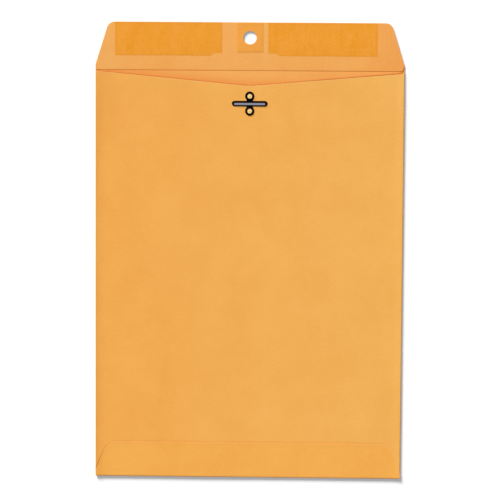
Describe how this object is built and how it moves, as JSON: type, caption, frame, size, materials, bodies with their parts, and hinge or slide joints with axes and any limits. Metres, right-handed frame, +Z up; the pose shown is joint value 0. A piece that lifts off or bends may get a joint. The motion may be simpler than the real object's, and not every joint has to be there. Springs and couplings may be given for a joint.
{
  "type": "clasp envelope",
  "caption": "Flat kraft paper envelope with a folding closure flap, a punched and patched hole in the flap, and a metal clasp whose prongs bend up through the hole to fasten it.",
  "frame": {"origin": "middle of the address face, on the surface that the envelope lies on", "axes": "+Z up out of the clasp side, +Y towards the closure flap along the envelope's length, +X to the right of someone who looks down on the clasp"},
  "size_m": [0.2286, 0.3403, 0.002],
  "materials": {
    "kraft_paper": "matte, machine-finished kraft with a fine fibre mottle",
    "patch_paper": "matte, a little darker than the sheet",
    "flap_gum": "dried remoistenable gum, a thin semi-gloss film on the paper",
    "seam_paste": "dried paste, hidden between the layers",
    "clasp_steel": "tinned steel, dark in its hollows and bright along the ribs"
  },
  "bodies": {
    "envelope": {"front_panel": "kraft_paper", "left_fold": "kraft_paper", "right_fold": "kraft_paper", "left_side_panel": "kraft_paper", "right_side_panel": "kraft_paper", "centre_seam_glue": "seam_paste", "bottom_fold": "kraft_paper", "bottom_flap": "kraft_paper", "bottom_flap_glue": "seam_paste", "clasp_backing_patch": "patch_paper", "clasp_base": "clasp_steel"},
    "flap": {"closure_flap": "kraft_paper", "flap_hole_patch": "patch_paper", "flap_gum_left": "flap_gum", "flap_gum_right": "flap_gum"},
    "left_clasp_prong": {"prong_left": "clasp_steel"},
    "right_clasp_prong": {"prong_right": "clasp_steel"}
  },
  "joints": [
    {"name": "flap_fold", "type": "hinge", "parent": "envelope", "child": "flap", "pos_m": [0, 0.1524, 0.00075], "axis": [1, 0, 0], "range_deg": [0, 177]},
    {"name": "prong_left_bend", "type": "hinge", "parent": "envelope", "child": "left_clasp_prong", "pos_m": [-0.002, 0.1281, 0.00125], "axis": [0, 1, 0], "range_deg": [0, 90]},
    {"name": "prong_right_bend", "type": "hinge", "parent": "envelope", "child": "right_clasp_prong", "pos_m": [0.002, 0.1281, 0.00125], "axis": [0, -1, 0], "range_deg": [0, 90]}
  ]
}
